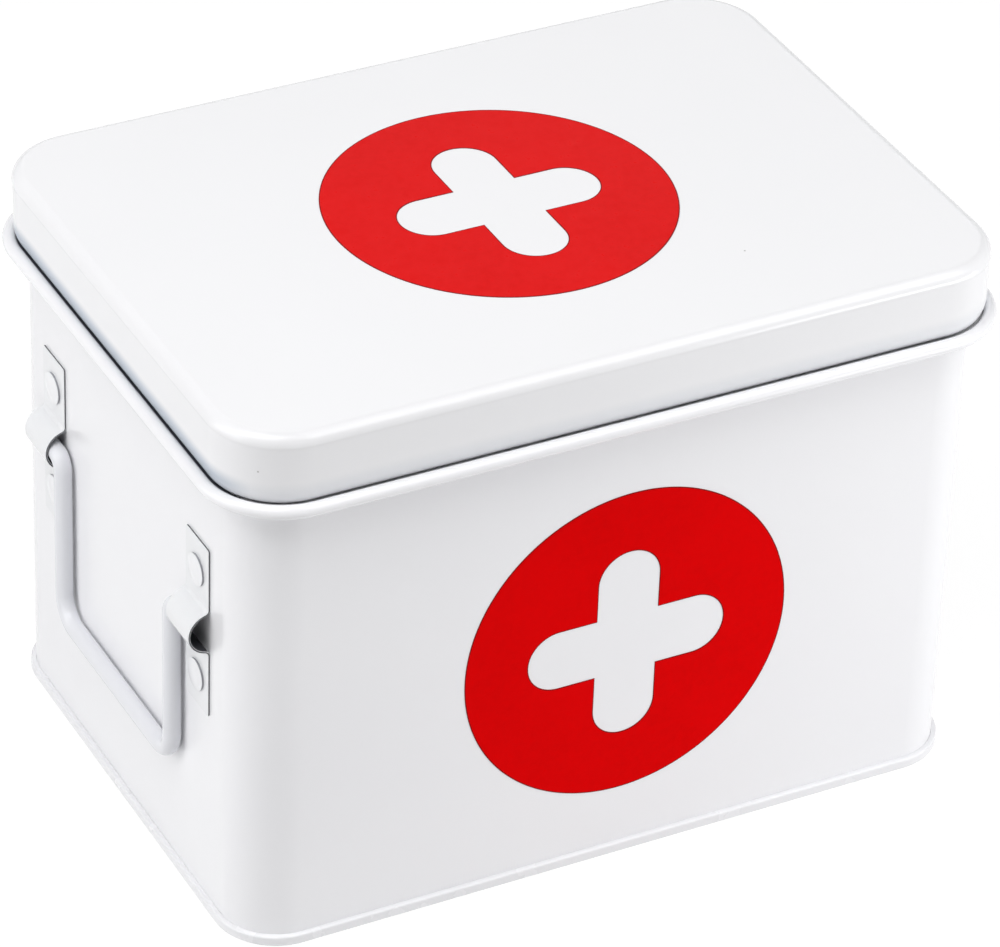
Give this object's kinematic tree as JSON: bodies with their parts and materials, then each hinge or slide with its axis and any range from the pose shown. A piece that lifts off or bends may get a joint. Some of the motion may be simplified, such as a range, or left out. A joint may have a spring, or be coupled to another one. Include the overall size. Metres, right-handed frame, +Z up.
{
  "type": "first aid tin",
  "caption": "White enamelled box tin with rounded corners, a lift-off lid that sits in a rolled gutter, hinged wire handles on both ends and red plus-sign discs.",
  "frame": {"origin": "centre of the foot, on the surface that the tin stands on", "axes": "+X along the length towards the right end, the printed front faces -Y, +Z up"},
  "size_m": [0.2292, 0.1662, 0.1621],
  "materials": {
    "body_enamel": "gloss white enamel on tinplate",
    "lid_enamel": "gloss white enamel on tinplate",
    "base_enamel": "gloss white enamel on tinplate",
    "bracket_enamel": "gloss white enamel on steel strip",
    "rivet_enamel": "gloss white enamel on a steel rivet",
    "wire_enamel": "gloss white enamel on steel wire",
    "red_print": "smooth red print under clear lacquer"
  },
  "bodies": {
    "tin": {"body_wall": "body_enamel", "base_panel": "base_enamel", "neck_ring": "body_enamel", "front_mark": "red_print", "left_front_bracket": "bracket_enamel", "left_back_bracket": "bracket_enamel", "right_front_bracket": "bracket_enamel", "right_back_bracket": "bracket_enamel", "left_front_rivets": "rivet_enamel", "left_back_rivets": "rivet_enamel", "right_front_rivets": "rivet_enamel", "right_back_rivets": "rivet_enamel"},
    "lid": {"lid_shell": "lid_enamel", "lid_mark": "red_print"},
    "left_handle": {"left_bail": "wire_enamel"},
    "right_handle": {"right_bail": "wire_enamel"}
  },
  "joints": [
    {"name": "lid_lift", "type": "slide", "parent": "tin", "child": "lid", "axis": [0, 0, 1], "range_m": [0, 0.06]},
    {"name": "left_handle_swing", "type": "hinge", "parent": "tin", "child": "left_handle", "pos_m": [-0.1103, 0, 0.089], "axis": [0, 1, 0], "range_deg": [0, 172]},
    {"name": "right_handle_swing", "type": "hinge", "parent": "tin", "child": "right_handle", "pos_m": [0.1103, 0, 0.089], "axis": [0, -1, 0], "range_deg": [0, 172]}
  ]
}
